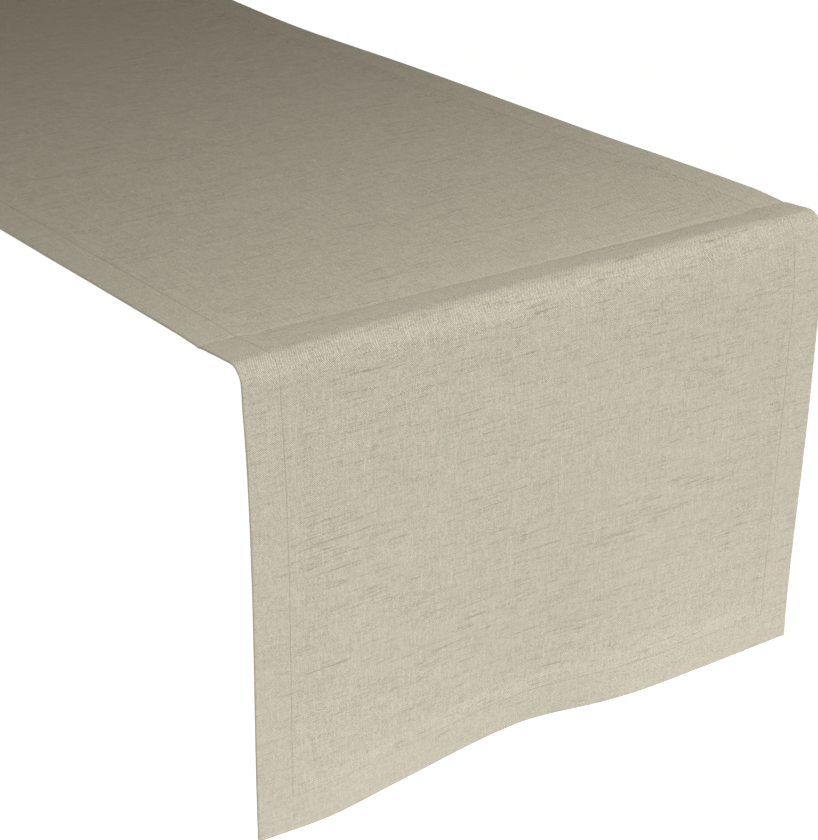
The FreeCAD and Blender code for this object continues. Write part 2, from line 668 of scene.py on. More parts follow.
class Signal:
    """A shader socket that Python's operators do sums with."""

    def __init__(self, bench: Bench, socket: bpy.types.NodeSocket) -> None:
        """Wraps a socket.

        Args:
            bench: The material that it belongs to.
            socket: The output socket.
        """
        self.bench = bench
        self.socket = socket

    def maths(self, operation: str, *values: "Signal | float") -> "Signal":
        """Adds a Math node.

        Args:
            operation: What the node works out.
            values: The numbers it works on, in order and this signal among them.

        Returns:
            The node's result.
        """
        sockets = dict(enumerate(values))
        return self.bench.signal(self.bench.node("ShaderNodeMath", {"operation": operation}, sockets))

    def __add__(self, other: "Signal | float") -> "Signal":
        """This plus other."""
        return self.maths("ADD", self, other)

    def __radd__(self, other: float) -> "Signal":
        """Other plus this."""
        return self.maths("ADD", other, self)

    def __sub__(self, other: "Signal | float") -> "Signal":
        """This less other."""
        return self.maths("SUBTRACT", self, other)

    def __rsub__(self, other: float) -> "Signal":
        """Other less this."""
        return self.maths("SUBTRACT", other, self)

    def __mul__(self, other: "Signal | float") -> "Signal":
        """This times other."""
        return self.maths("MULTIPLY", self, other)

    def __rmul__(self, other: float) -> "Signal":
        """Other times this."""
        return self.maths("MULTIPLY", other, self)

    def __truediv__(self, other: "Signal | float") -> "Signal":
        """This divided by other."""
        return self.maths("DIVIDE", self, other)

    def __pow__(self, other: float) -> "Signal":
        """This to a power."""
        return self.maths("POWER", self, other)

    def __abs__(self) -> "Signal":
        """The size of this without its sign."""
        return self.maths("ABSOLUTE", self)

    def floor(self) -> "Signal":
        """The whole number at or below this."""
        return self.maths("FLOOR", self)

    def fraction(self) -> "Signal":
        """What is left above that whole number."""
        return self.maths("FRACT", self)

    def below(self, other: "Signal | float") -> "Signal":
        """The smaller of the two."""
        return self.maths("MINIMUM", self, other)

    def between(self, first: "Signal | float", second: "Signal | float") -> "Signal":
        """Goes from first to second as this goes from 0 to 1."""
        return first + self * (second - first)


# ---------------------------------------------------------------- finishes


@dataclass(frozen=True)
class Weave:
    """The two threads that cross at a place of the cloth.

    Attributes:
        warp: The number of the thread that runs along the cloth.
        weft: The number of the thread that runs across it.
        weft_on_top: 1 where the weft is the upper one, and 0 elsewhere.
        proud: How proud the upper one stands, from 0 in a gap to 1.
    """

    warp: Signal
    weft: Signal
    weft_on_top: Signal
    proud: Signal


@dataclass(frozen=True)
class Slubs:
    """Where the linen's yarn is thick or thin, each from 0 to 1."""

    dark_weft: Signal
    pale_warp: Signal
    pale_weft: Signal
    loose: Signal


@dataclass(frozen=True)
class Linen:
    """Natural slub linen in plain weave. Lengths are in millimetres, and sizes are across and along.

    A range is where the noise has to lie for a thing to begin and to be full.

    Attributes:
        half_width: From the runner's middle line to the fold of a long side.
        half_length: From the middle of the table to the fold of an end, along the cloth.
        ground: The yarn's colour, with pale and dark for its slubs.
        pitch: From one thread to the next.
        wander: How far a thread strays from its line, and wander_size how far from bend to bend.
        thread_step: How far apart two neighbouring threads are looked up in the noise of their tones.
        thread_contrast: How much the tones differ, over warp_run and weft_run of a thread's length.
        ground_level: The brightness of the warp in a gap, to which gap_shade is added where a thread
        is proudest, and from which weft_shade is taken where the weft is on top. Both are painted
        shade, lighter on the round threads' crests, darker in the gaps and where the weft is on top.
        cell_contrast: How much one crossing differs from the next.
        loose_contrast: How much more so where the weave is loose. Such a place has loose_shade,
            loose_size and loose_range.
        patch_contrast: How much broad patches of patch_size differ, and patchiness how much more
            often dark slubs lie in one than in another.
        weft_slub_size: How large a slub of the weft is, and warp_slub_size one of the warp.
        dark_weft_range: The weft's dark slubs, whose colour is as strong as dark_weft_share.
        pale_warp_range: The warp's pale slubs, with pale_warp_share.
        pale_weft_range: The weft's pale stretches, with pale_weft_share.
        hem_calm: How much less the yarn varies over the hems.
        hem_lift: How much brighter the hems are, with edges hem_blur soft.
        seam_shade: How dark the painted shade in the stitches' furrow is, which is full and over at the
        two furrow distances, and hole_share how much of that belongs to the needle holes.
        hem_width: From the edge fold to the hem's inner fold.
        seam: From the edge fold to the seam, whose stitches are stitch_pitch apart.
        roughness: The linen's roughness, with specular, sheen and sheen_roughness.
        relief: How high the weave, the tone and the dark slubs stand, as shares of relief_depth, with
            relief_strength for how much of that shows.
    """

    half_width: float
    half_length: float
    ground: tuple[float, float, float] = (0.540, 0.503, 0.407)
    pale: tuple[float, float, float] = (0.640, 0.605, 0.515)
    dark: tuple[float, float, float] = (0.250, 0.226, 0.168)
    pitch: float = 0.55
    wander: float = 0.7
    wander_size: tuple[float, float] = (5.0, 5.0)
    thread_step: float = 3.17
    thread_contrast: float = 0.80
    warp_run: float = 14.0
    weft_run: float = 17.0
    ground_level: float = 0.93
    gap_shade: float = 0.27
    weft_shade: float = 0.50
    cell_contrast: float = 0.26
    loose_contrast: float = 0.25
    loose_shade: float = 0.075
    loose_size: tuple[float, float] = (26.0, 2.6)
    loose_range: tuple[float, float] = (0.50, 0.76)
    patch_size: tuple[float, float] = (60.0, 45.0)
    patch_contrast: float = 0.06
    patchiness: float = 0.25
    weft_slub_size: tuple[float, float] = (20.0, 0.95)
    warp_slub_size: tuple[float, float] = (0.8, 22.0)
    dark_weft_range: tuple[float, float] = (0.565, 0.76)
    dark_weft_share: float = 0.50
    pale_warp_range: tuple[float, float] = (0.60, 0.78)
    pale_warp_share: float = 0.55
    pale_weft_range: tuple[float, float] = (0.60, 0.80)
    pale_weft_share: float = 0.40
    hem_calm: float = 0.3
    hem_lift: float = 0.018
    hem_blur: float = 0.6
    seam_shade: float = 0.10
    furrow: tuple[float, float] = (0.25, 0.75)
    hole_share: float = 0.45
    hem_width: float = 25.0
    seam: float = 23.0
    stitch_pitch: float = 3.0
    roughness: float = 0.78
    specular: float = 0.30
    sheen: float = 0.04
    sheen_roughness: float = 0.6
    relief: tuple[float, float, float] = (0.6, 0.5, 0.5)
    relief_depth: float = 0.15
    relief_strength: float = 0.35

    def material(self) -> bpy.types.Material:
        """Builds the linen's material.

        Returns:
            The material.
        """
        bench = Bench("linen")
        across, along = bench.weave_place()
        weave = self._weave(bench, across, along)
        tone = self._tone(bench, across, along, weave)
        hem = self._hem(bench, across, along)
        calm = 1 - hem * self.hem_calm
        patch = bench.grain(bench.stretched(across, along, self.patch_size, layer=4.0), detail=1.0)
        slubs = self._slubs(bench, across, along, patch, calm)

        colour = bench.mix(slubs.dark_weft * self.dark_weft_share, (*self.ground, 1), (*self.dark, 1))
        colour = bench.mix((slubs.pale_warp * self.pale_warp_share).below(1.0), colour, (*self.pale, 1))
        colour = bench.mix((slubs.pale_weft * self.pale_weft_share).below(1.0), colour, (*self.pale, 1))
        fade = 1 + (tone - 0.5) * self.thread_contrast * calm
        # painted shade of the weave: round threads lighter on their crests, gaps and weft crossings
        # darker
        painted_weave_shade = self.ground_level + weave.proud * self.gap_shade - weave.weft_on_top * self.weft_shade
        cell_place = bench.point(weave.warp, weave.weft)
        cell = bench.node("ShaderNodeTexWhiteNoise", {"noise_dimensions": "2D"}, {0: cell_place})
        unevenness = self.cell_contrast + slubs.loose * self.loose_contrast
        cells = 1 + (bench.signal(cell, 0) - 0.5) * unevenness - slubs.loose * self.loose_shade
        cloud = 1 + (patch - 0.5) * self.patch_contrast
        # painted shade along the seams, darkest at the needle holes
        seam = 1 - self._seam_shadow(bench, across, along) * self.seam_shade
        lift = 1 + hem * self.hem_lift
        colour = bench.scale_colour(colour, fade * painted_weave_shade * cells * cloud * seam * lift)

        heights = zip((weave.proud, tone, slubs.dark_weft), self.relief)
        proud, toned, thick = (part * share for part, share in heights)
        bump = bench.node(
            "ShaderNodeBump",
            sockets={
                "Strength": self.relief_strength,
                "Distance": self.relief_depth * MM,
                "Height": proud + toned + thick,
            },
        )
        shader = bench.node(
            "ShaderNodeBsdfPrincipled",
            sockets={
                "Base Color": colour,
                "Roughness": self.roughness,
                "Specular IOR Level": self.specular,
                "Sheen Weight": self.sheen,
                "Sheen Roughness": self.sheen_roughness,
                "Normal": bump.outputs[0],
            },
        )
        return bench.finish(shader)

    def _weave(self, bench: Bench, across: Signal, along: Signal) -> Weave:
        """Works out the plain weave, whose threads wander a little.

        Args:
            bench: The material.
            across: The place across the weave.
            along: The place along it.

        Returns:
            The crossing threads.
        """
        drift = bench.noise(bench.stretched(across, along, self.wander_size), detail=1.0)
        parts = bench.node("ShaderNodeSeparateColor", sockets={0: drift.outputs[1]})
        warp_place = (across + (bench.signal(parts, 0) - 0.5) * self.wander) / self.pitch
        weft_place = (along + (bench.signal(parts, 1) - 0.5) * self.wander) / self.pitch
        warp = warp_place.floor()
        weft = weft_place.floor()
        warp_curve = 1 - (warp_place.fraction() * 2 - 1) ** 2
        weft_curve = 1 - (weft_place.fraction() * 2 - 1) ** 2
        weft_on_top = ((warp + weft) * 0.5).fraction() * 2
        return Weave(warp, weft, weft_on_top, weft_on_top.between(warp_curve, weft_curve))

    def _tone(self, bench: Bench, across: Signal, along: Signal, weave: Weave) -> Signal:
        """The tone of the thread on top, which changes slowly along it.

        Args:
            bench: The material.
            across: The place across the weave.
            along: The place along it.
            weave: The crossing threads.

        Returns:
            The tone, about 0 to 1.
        """
        warp_place = bench.point(weave.warp * self.thread_step + 0.5, along / self.warp_run)
        weft_place = bench.point(across / self.weft_run, weave.weft * self.thread_step + 0.5, 9.0)
        warp_tone = bench.grain(warp_place, detail=3.0, roughness=0.6)
        weft_tone = bench.grain(weft_place, detail=3.0, roughness=0.6)
        return weave.weft_on_top.between(warp_tone, weft_tone)

    def _slubs(self, bench: Bench, across: Signal, along: Signal, patch: Signal, calm: Signal) -> Slubs:
        """Works out where the yarn is thick or thin.

        Args:
            bench: The material.
            across: The place across the weave.
            along: The place along it.
            patch: Broad patches, in which dark slubs are more or less common.
            calm: How far the yarn may vary, which is less over the hems.

        Returns:
            The slubs.
        """
        weft_place = bench.stretched(across, along, self.weft_slub_size, layer=1.5)
        warp_place = bench.stretched(across, along, self.warp_slub_size, layer=6.5)
        loose_place = bench.stretched(across, along, self.loose_size, layer=3.5)
        weft = bench.grain(weft_place, detail=2.0, roughness=0.6)
        warp = bench.grain(warp_place, detail=2.0, roughness=0.6)
        loose = bench.grain(loose_place, detail=2.0)
        return Slubs(
            dark_weft=bench.rise(weft + (patch - 0.5) * self.patchiness, *self.dark_weft_range) * calm,
            pale_warp=bench.rise(warp, *self.pale_warp_range) * calm,
            pale_weft=bench.rise(0.98 - weft, *self.pale_weft_range) * calm,
            loose=bench.rise(loose, *self.loose_range) * calm,
        )

    def _inward(self, across: Signal, along: Signal) -> tuple[Signal, Signal]:
        """The distances in from the side fold and from the end fold."""
        return self.half_width - abs(across), self.half_length - abs(along)

    def _hem(self, bench: Bench, across: Signal, along: Signal) -> Signal:
        """Finds the hems, where three layers lie on each other.

        Args:
            bench: The material.
            across: The place across the weave.
            along: The place along it.

        Returns:
            1 over the hems and 0 elsewhere.
        """
        side, end = self._inward(across, along)
        edge = (self.hem_width - self.hem_blur, self.hem_width + self.hem_blur)
        return 1 - bench.rise(side.below(end), *edge)

    def _seam_shadow(self, bench: Bench, across: Signal, along: Signal) -> Signal:
        """Painted shade of the fine furrow the stitches pull into the cloth, darkest at the needle
        holes.

        Args:
            bench: The material.
            across: The place across the weave.
            along: The place along it.

        Returns:
            The painted shade's strength, from 0 to 1.
        """
        side, end = self._inward(across, along)
        shadow = None
        for inward, run, other in ((side, along, end), (end, across, side)):
            line = 1 - bench.rise(abs(inward - self.seam), *self.furrow)
            holes = abs((run / self.stitch_pitch).fraction() - 0.5) * 2
            inside = bench.rise(other, self.seam - 1.0, self.seam - 0.5)
            part = line * inside * (1 - self.hole_share + self.hole_share * (1 - holes))
            shadow = part if shadow is None else shadow + part
        return shadow.below(1.0)


@dataclass(frozen=True)
class SewingThread:
    """Twisted matte sewing thread, a little darker than the linen. Lengths are in millimetres."""

    colour: tuple[float, float, float] = (0.44, 0.410, 0.330)
    shade: tuple[float, float, float] = (0.33, 0.305, 0.240)
    ply: float = 0.32

    def material(self) -> bpy.types.Material:
        """Builds the thread's material.

        Returns:
            The material.
        """
        bench = Bench("sewing_thread")
        across, along = bench.weave_place()
        twist = ((across + along) / self.ply).fraction()
        groove = abs(twist - 0.5) * 2
        uneven = bench.grain(bench.point(across / 2.0, along / 2.0), detail=1.0)
        # painted shade in the grooves between the thread's plies
        colour = bench.mix(groove * 0.7, (*self.colour, 1), (*self.shade, 1))
        colour = bench.scale_colour(colour, 0.9 + uneven * 0.2)
        bump_sockets = {"Strength": 0.4, "Distance": 0.08 * MM, "Height": 1 - groove}
        bump = bench.node("ShaderNodeBump", sockets=bump_sockets)
        shader = bench.node(
            "ShaderNodeBsdfPrincipled",
            sockets={
                "Base Color": colour,
                "Roughness": 0.7,
                "Specular IOR Level": 0.3,
                "Normal": bump.outputs[0],
            },
        )
        return bench.finish(shader)


@dataclass(frozen=True)
class PaleFloor:
    """A plain studio floor that glows like a lamp and lights the runner, its glow dimmed softly in
    front of the table. Lengths are in metres.

    Attributes:
        colour: The floor's own colour.
        glow: How strongly it glows behind and beside the table.
        bright_to: How far forward that holds.
        dim_from: Where it has dimmed to its lowest.
        dimmed: The share of the glow that is left there.
    """

    colour: tuple[float, float, float] = (0.30, 0.30, 0.30)
    glow: float = 0.93
    bright_to: float = 0.30
    dim_from: float = 1.00
    dimmed: float = 0.48

    def material(self) -> bpy.types.Material:
        """Builds the floor's material.

        Returns:
            The material.
        """
        bench = Bench("studio_floor")
        coords = bench.node("ShaderNodeTexCoord")
        parts = bench.node("ShaderNodeSeparateXYZ", sockets={0: coords.outputs["Object"]})
        ahead = bench.rise(bench.signal(parts, 0), self.bright_to, self.dim_from)
        # the floor's glow, which lights the runner from below, dimmed in front of the table
        lit = bench.mix(ahead, (1, 1, 1, 1), (self.dimmed, self.dimmed, self.dimmed, 1))
        shader = bench.node(
            "ShaderNodeBsdfPrincipled",
            sockets={
                "Base Color": (*self.colour, 1),
                "Roughness": 1.0,
                "Specular IOR Level": 0.0,
                "Emission Color": lit,
                "Emission Strength": self.glow,
            },
        )
        return bench.finish(shader)


# ---------------------------------------------------------------- the runner


@dataclass(frozen=True)
class Spacing:
    """How far apart a mesh's rows and columns of points lie, in metres."""

    table: float = 7.5 * MM
    slack: float = 5 * MM
    turn: float = 1 * MM
    below_turn: float = 2.4 * MM
    drop: float = 4 * MM
    corner: float = 2.6 * MM
    across_hem: float = 6 * MM
    across_step: float = 1 * MM
    across_middle: float = 4.2 * MM
    end_hem: float = 5 * MM


@dataclass
class RunnerHalf:
    """Half of the runner: its cloth, its turned hems and the stitches that hold them.

    Lengths are in metres.

    Attributes:
        cut: The cloth's flat sizes.
        half: Which half it is.
        lie: How its end lies and hangs.
        strays: Where its long edges stray sideways.
        linen: The cloth's finish.
        thread: The stitches' finish.
        stitch_pitch: From one stitch to the next, as near as a whole number of them allows.
        stitch_length: A stitch's length, with stitch_width and stitch_height.
        stitch_proud: How far a stitch's middle stands off the hem's face.
        spacing: How close the meshes' points lie.
        slack_zone: How far behind the table's edge the rows of points come closer.
        ridge_zone: How far behind it they are closest.
        turn_margin: How far past the turn they stay closest.
        upper_drop: How far past the turn they stay close.
        mitre_zone: The last stretch of a hem, in which its rows slant towards the mitre.
    """

    cut: Cut
    half: Half
    lie: Lie
    strays: tuple[Stray, ...]
    linen: bpy.types.Material
    thread: bpy.types.Material
    stitch_pitch: float = 3.0 * MM
    stitch_length: float = 2.5 * MM
    stitch_width: float = 0.42 * MM
    stitch_height: float = 0.30 * MM
    stitch_proud: float = 0.02 * MM
    spacing: Spacing = Spacing()
    slack_zone: float = 250 * MM
    ridge_zone: float = 40 * MM
    turn_margin: float = 2 * MM
    upper_drop: float = 30 * MM
    mitre_zone: float = 45 * MM

    def __post_init__(self) -> None:
        """Sets up the drape that all the half's pieces share."""
        self.drape = Drape(self.cut, self.half, self.lie, self.strays)

    def _rows(self, end: float) -> list[float]:
        """Places a mesh's rows of points, closer together where the cloth bends.

        Args:
            end: The distance along the cloth of the last row.

        Returns:
            The rows' distances along the cloth.
        """
        cut = self.cut
        gap = self.spacing
        after_bend = cut.half_top + cut.bend_arc
        return stations(
            (cut.half_top - self.slack_zone, gap.table),
            (cut.half_top - self.ridge_zone, gap.slack),
            (after_bend + self.turn_margin, gap.turn),
            (after_bend + self.upper_drop, gap.below_turn),
            (end - self.mitre_zone, gap.drop),
            (end, gap.corner),
        )

    def _columns(self) -> list[float]:
        """Places the cloth's columns of points, closest on the step at each hem.

        Returns:
            The columns' distances across the cloth.
        """
        cut = self.cut
        gap = self.spacing
        inner = cut.half_width - cut.fold
        hem = cut.half_width - cut.hem_width
        return stations(
            (-hem, gap.across_hem),
            (-hem + cut.hem_slope, gap.across_step),
            (hem - cut.hem_slope, gap.across_middle),
            (hem, gap.across_step),
            (inner, gap.across_hem),
            start=-inner,
        )

    def build_cloth(self) -> bpy.types.Object:
        """Makes the half's cloth: one woven sheet from the middle of the table to its end.

        Returns:
            The cloth's piece.
        """
        cut = self.cut
        rows = self._rows(cut.half_length - cut.fold)
        columns = self._columns()
        flat = Flat()
        bmesh.ops.create_grid(
            flat.mesh,
            x_segments=len(columns) - 1,
            y_segments=len(rows) - 1,
            size=1.0,
        )
        for vert in flat.mesh.verts:
            column = round((vert.co.x + 1) / 2 * (len(columns) - 1))
            row = round((vert.co.y + 1) / 2 * (len(rows) - 1))
            across, along = columns[column], rows[row]
            vert.co = (across, along, cut.rise(cut.inward(across, along)))
        flat.mark_weave()
        for face in flat.mesh.faces:
            face.normal_update()
        bmesh.ops.solidify(flat.mesh, geom=flat.mesh.faces[:], thickness=cut.thickness)
        self._settle_under_layer(flat)
        piece = flat.lay(f"{self.half.word}_half_cloth", self.drape)
        nodes = [f"{self.half.word}_bend_cloth", f"{self.half.word}_drop_cloth"]
        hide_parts("top_cloth", *nodes)
        return piece

    def _settle_under_layer(self, flat: Flat) -> None:
        """Puts the sheet's lower face exactly one thickness under its upper one.

        Args:
            flat: The sheet.
        """
        cut = self.cut
        for vert in flat.mesh.verts:
            across, along, _ = vert[flat.weave]
            upper = cut.rise(cut.inward(across, along))
            lower = vert.co.z < upper - cut.thickness / 2
            vert.co = (across, along, upper - (cut.thickness if lower else 0))

    def _hem_section(self) -> list[tuple[float, float, float]]:
        """Works out the section of a hem that is turned under twice.

        Returns:
            Points with the distance in from the fold, the height, and the place on the weave.
        """
        cut = self.cut
        thick = cut.thickness
        inner_radius = thick + cut.layer_gap / 2
        inner = cut.hem_width - inner_radius
        tucked = thick + cut.layer_gap
        flats = [inner * share for share in (0.25, 0.5, 0.75)]
        outside = [*arc((cut.fold, cut.fold), cut.fold, 90, 270, 8)]
        outside += [(cut.fold + place, 0.0) for place in flats]
        outside += arc((inner, inner_radius), inner_radius, -90, 90, 5)
        outside += [(inner - place, 2 * inner_radius) for place in flats[:2]]
        outside += [(cut.raw_edge, 2 * inner_radius)]
        inside = [(cut.raw_edge, tucked)]
        inside += [(inner - place, tucked) for place in reversed(flats[:2])]
        inside += arc((inner, inner_radius), cut.layer_gap / 2, 90, -90, 2)
        inside += [(cut.fold + place, thick) for place in reversed(flats)]
        inside += arc((cut.fold, cut.fold), cut.fold - thick, 270, 90, 6)
        section = []
        travelled = cut.fold
        last = outside[0]
        for point in outside:
            travelled -= math.dist(point, last)
            section.append((*point, travelled))
            last = point
        for point in inside:
            travelled += math.dist(point, last)
            section.append((*point, travelled))
            last = point
        return section

    @staticmethod
    def _sweep(
        section: Sequence[tuple[float, float, float]],
        rows: Sequence[float],
        fixed: float,
        flat: Flat,
        put: Callable[[float, float], tuple[float, float]],
    ) -> None:
        """Extrudes a section along rows, drawing its last stretch back to a mitre.

        Args:
            section: Distance in from the fold, height, and place on the weave, for each point.
            rows: Distances along the hem, of which the last is the runner's corner.
            fixed: The distance along up to which rows stay square.
            flat: The mesh to add to.
            put: Turns distance in and distance along into across and along the cloth.
        """
        bm = flat.mesh

        def reach(row: float, inward: float) -> float:
            """Draws a row back to the mitre.

            Args:
                row: The row's distance along the fold.
                inward: The distance in from the fold.

            Returns:
                The distance along at that distance in.
            """
            if row <= fixed:
                return row
            return fixed + (row - fixed) * (rows[-1] - inward - fixed) / (rows[-1] - fixed)

        def settle(verts: Iterable[bmesh.types.BMVert], row: float) -> None:
            """Puts one ring of points in its place on the cloth.

            Args:
                verts: The ring's points, in the section's order.
                row: The ring's distance along the fold.
            """
            for vert, (inward, height, weave) in zip(verts, section):
                vert.co = (*put(inward, reach(row, inward)), height)
                vert[flat.weave] = (*put(weave, reach(row, inward)), 0)

        ring = [bm.verts.new((0, 0, 0)) for _ in section]
        edges = [bm.edges.new(pair) for pair in zip(ring, ring[1:] + ring[:1])]
        settle(ring, rows[0])
        first_edges = edges
        for row in rows[1:]:
            made = bmesh.ops.extrude_edge_only(bm, edges=edges)["geom"]
            fresh = {item for item in made if isinstance(item, bmesh.types.BMVert)}
            follow = {}
            for old in ring:
                follow[old] = next(
                    edge.other_vert(old) for edge in old.link_edges if edge.other_vert(old) in fresh
                )
            ring = [follow[old] for old in ring]
            settle(ring, row)
            edges = [bm.edges.get(pair) for pair in zip(ring, ring[1:] + ring[:1])]
        for rim in (first_edges, edges):
            bmesh.ops.holes_fill(bm, edges=rim, sides=0)

    def build_side_hem(self, side: Side) -> bpy.types.Object:
        """Makes the hem along one side.

        Args:
            side: The long edge it runs along.

        Returns:
            The hem's piece.
        """
        cut = self.cut
        flat = Flat()
        rows = self._rows(cut.half_length)

        def put(inward: float, along: float) -> tuple[float, float]:
            """Across and along, from the distance in and the distance along the hem."""
            return side.value * (cut.half_width - inward), along

        self._sweep(self._hem_section(), rows, cut.half_length - self.mitre_zone, flat, put)
        piece = flat.lay(f"{self.half.word}_half_{side.word}_hem", self.drape)
        self._stands_for(f"{side.word}_hem")
        return piece

    def build_end_hem(self) -> bpy.types.Object:
        """Makes the hem across the hanging end, mitred at both corners.

        Returns:
            The hem's piece.
        """
        cut = self.cut
        flat = Flat()
        fixed = cut.half_width - self.mitre_zone
        half_row = stations((fixed, self.spacing.end_hem), (cut.half_width, self.spacing.corner))
        for side in Side:
            part = Flat()

            def put(inward: float, run: float, way: int = side.value) -> tuple[float, float]:
                """Across and along, from the distance in and the distance from the middle."""
                return way * run, cut.half_length - inward

            self._sweep(self._hem_section(), half_row, fixed, part, put)
            self._open_middle(part)
            scratch = bpy.data.meshes.new("scratch")
            part.mesh.to_mesh(scratch)
            flat.mesh.from_mesh(scratch)
            bpy.data.meshes.remove(scratch)
            part.mesh.free()
        flat.weave = flat.mesh.verts.layers.float_vector["weave"]
        bmesh.ops.remove_doubles(flat.mesh, verts=flat.mesh.verts, dist=SAME_PLACE)
        piece = flat.lay(f"{self.half.word}_drop_end_hem_fold", self.drape)
        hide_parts(f"{self.half.word}_drop_end_hem")
        return piece

    @staticmethod
    def _open_middle(part: Flat) -> None:
        """Takes away the cap at the middle of the runner, where an end hem's two parts meet.

        Args:
            part: One part of the hem.
        """
        bm = part.mesh
        ends = [face for face in bm.faces if len(face.verts) > 4]
        caps = [face for face in ends if all(abs(vert.co.x) < SAME_PLACE for vert in face.verts)]
        bmesh.ops.delete(bm, geom=caps, context="FACES_ONLY")

    def _stands_for(self, what: str) -> None:
        """Hides the imported nodes that a piece stands for, on the table, over its edge and on the drop.
        """
        word = self.half.word
        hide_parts(f"top_{what}", f"{word}_bend_{what}", f"{word}_drop_{what}")

    def _stitch_row(
        self,
        flat: Flat,
        face: Face,
        start: float,
        end: float,
        put: Callable[[float], tuple[float, float]],
        turned: bool,
    ) -> None:
        """Adds a row of lockstitches.

        Args:
            flat: The mesh to add to.
            face: Which face of the hem the row shows on.
            start: The distance along the seam at which the row starts.
            end: Where it ends.
            put: Turns distance along the seam into across and along the cloth.
            turned: Whether the row runs across the cloth.
        """
        cut = self.cut
        bm = flat.mesh
        run = 0 if turned else 1
        count = max(1, round((end - start) / self.stitch_pitch))
        pitch = (end - start) / count
        size = [self.stitch_width / 2, self.stitch_length / 2, self.stitch_height / 2]
        if turned:
            size[0], size[1] = size[1], size[0]
        level = cut.stack + self.stitch_proud if face is Face.NEEDLE else -self.stitch_proud
        first = Matrix.Translation((*put(start + pitch / 2), level)) @ Matrix.Diagonal((*size, 1.0))
        bmesh.ops.create_uvsphere(bm, u_segments=6, v_segments=5, radius=1.0, matrix=first)
        step = Vector((*put(start + pitch), 0)) - Vector((*put(start), 0))
        made = 1
        while made < count:
            more = min(made, count - made)
            limit = start + more * pitch
            verts = [vert for vert in bm.verts if vert.co[run] < limit]
            chosen = set(verts)
            faces = [item for item in bm.faces if item.verts[0] in chosen]
            edges = [item for item in bm.edges if item.verts[0] in chosen]
            copies = bmesh.ops.duplicate(bm, geom=verts + edges + faces)["geom"]
            moved = [item for item in copies if isinstance(item, bmesh.types.BMVert)]
            bmesh.ops.translate(bm, verts=moved, vec=step * made)
            made += more

    def build_side_stitches(self, side: Side, face: Face) -> bpy.types.Object:
        """Makes the stitches along one side hem.

        Args:
            side: The long edge.
            face: Which face of the hem.

        Returns:
            The row's piece.
        """
        cut = self.cut
        flat = Flat()

        def put(along: float) -> tuple[float, float]:
            """Across and along, from the distance along the seam."""
            return side.value * (cut.half_width - cut.seam), along

        self._stitch_row(flat, face, 0.0, cut.half_length - cut.seam, put, turned=False)
        flat.mark_weave()
        piece = flat.lay(f"{self.half.word}_half_{side.word}_{face.value}_stitches", self.drape)
        self._stands_for(f"{side.word}_{face.value}_thread")
        return piece

    def build_end_stitches(self, face: Face) -> bpy.types.Object:
        """Makes the stitches across the hanging end.

        Args:
            face: Which face of the hem.

        Returns:
            The row's piece.
        """
        cut = self.cut
        flat = Flat()

        def put(across: float) -> tuple[float, float]:
            """Across and along, from the distance along the seam."""
            return across, cut.half_length - cut.seam

        reach = cut.half_width - cut.seam
        self._stitch_row(flat, face, -reach, reach, put, turned=True)
        flat.mark_weave()
        piece = flat.lay(f"{self.half.word}_drop_end_{face.value}_stitches", self.drape)
        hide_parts(f"{self.half.word}_drop_end_{face.value}_thread")
        return piece

    def _dress(self, piece: bpy.types.Object, finish: bpy.types.Material) -> None:
        """Gives a piece its finish.

        Args:
            piece: The piece.
            finish: Its material.
        """
        piece.data.materials.append(finish)
        LOG.info("%s: %d faces", piece.name, len(piece.data.polygons))

    def build(self) -> None:
        """Builds every piece of the half and gives each its finish."""
        cloth = self.build_cloth()
        hems = [self.build_side_hem(side) for side in Side] + [self.build_end_hem()]
        rows = [self.build_side_stitches(side, face) for side in Side for face in Face]
        rows += [self.build_end_stitches(face) for face in Face]
        for piece in [cloth, *hems]:
            self._dress(piece, self.linen)
        for piece in rows:
            self._dress(piece, self.thread)
        flat_size = (2 * self.cut.half_width, self.cut.half_length)


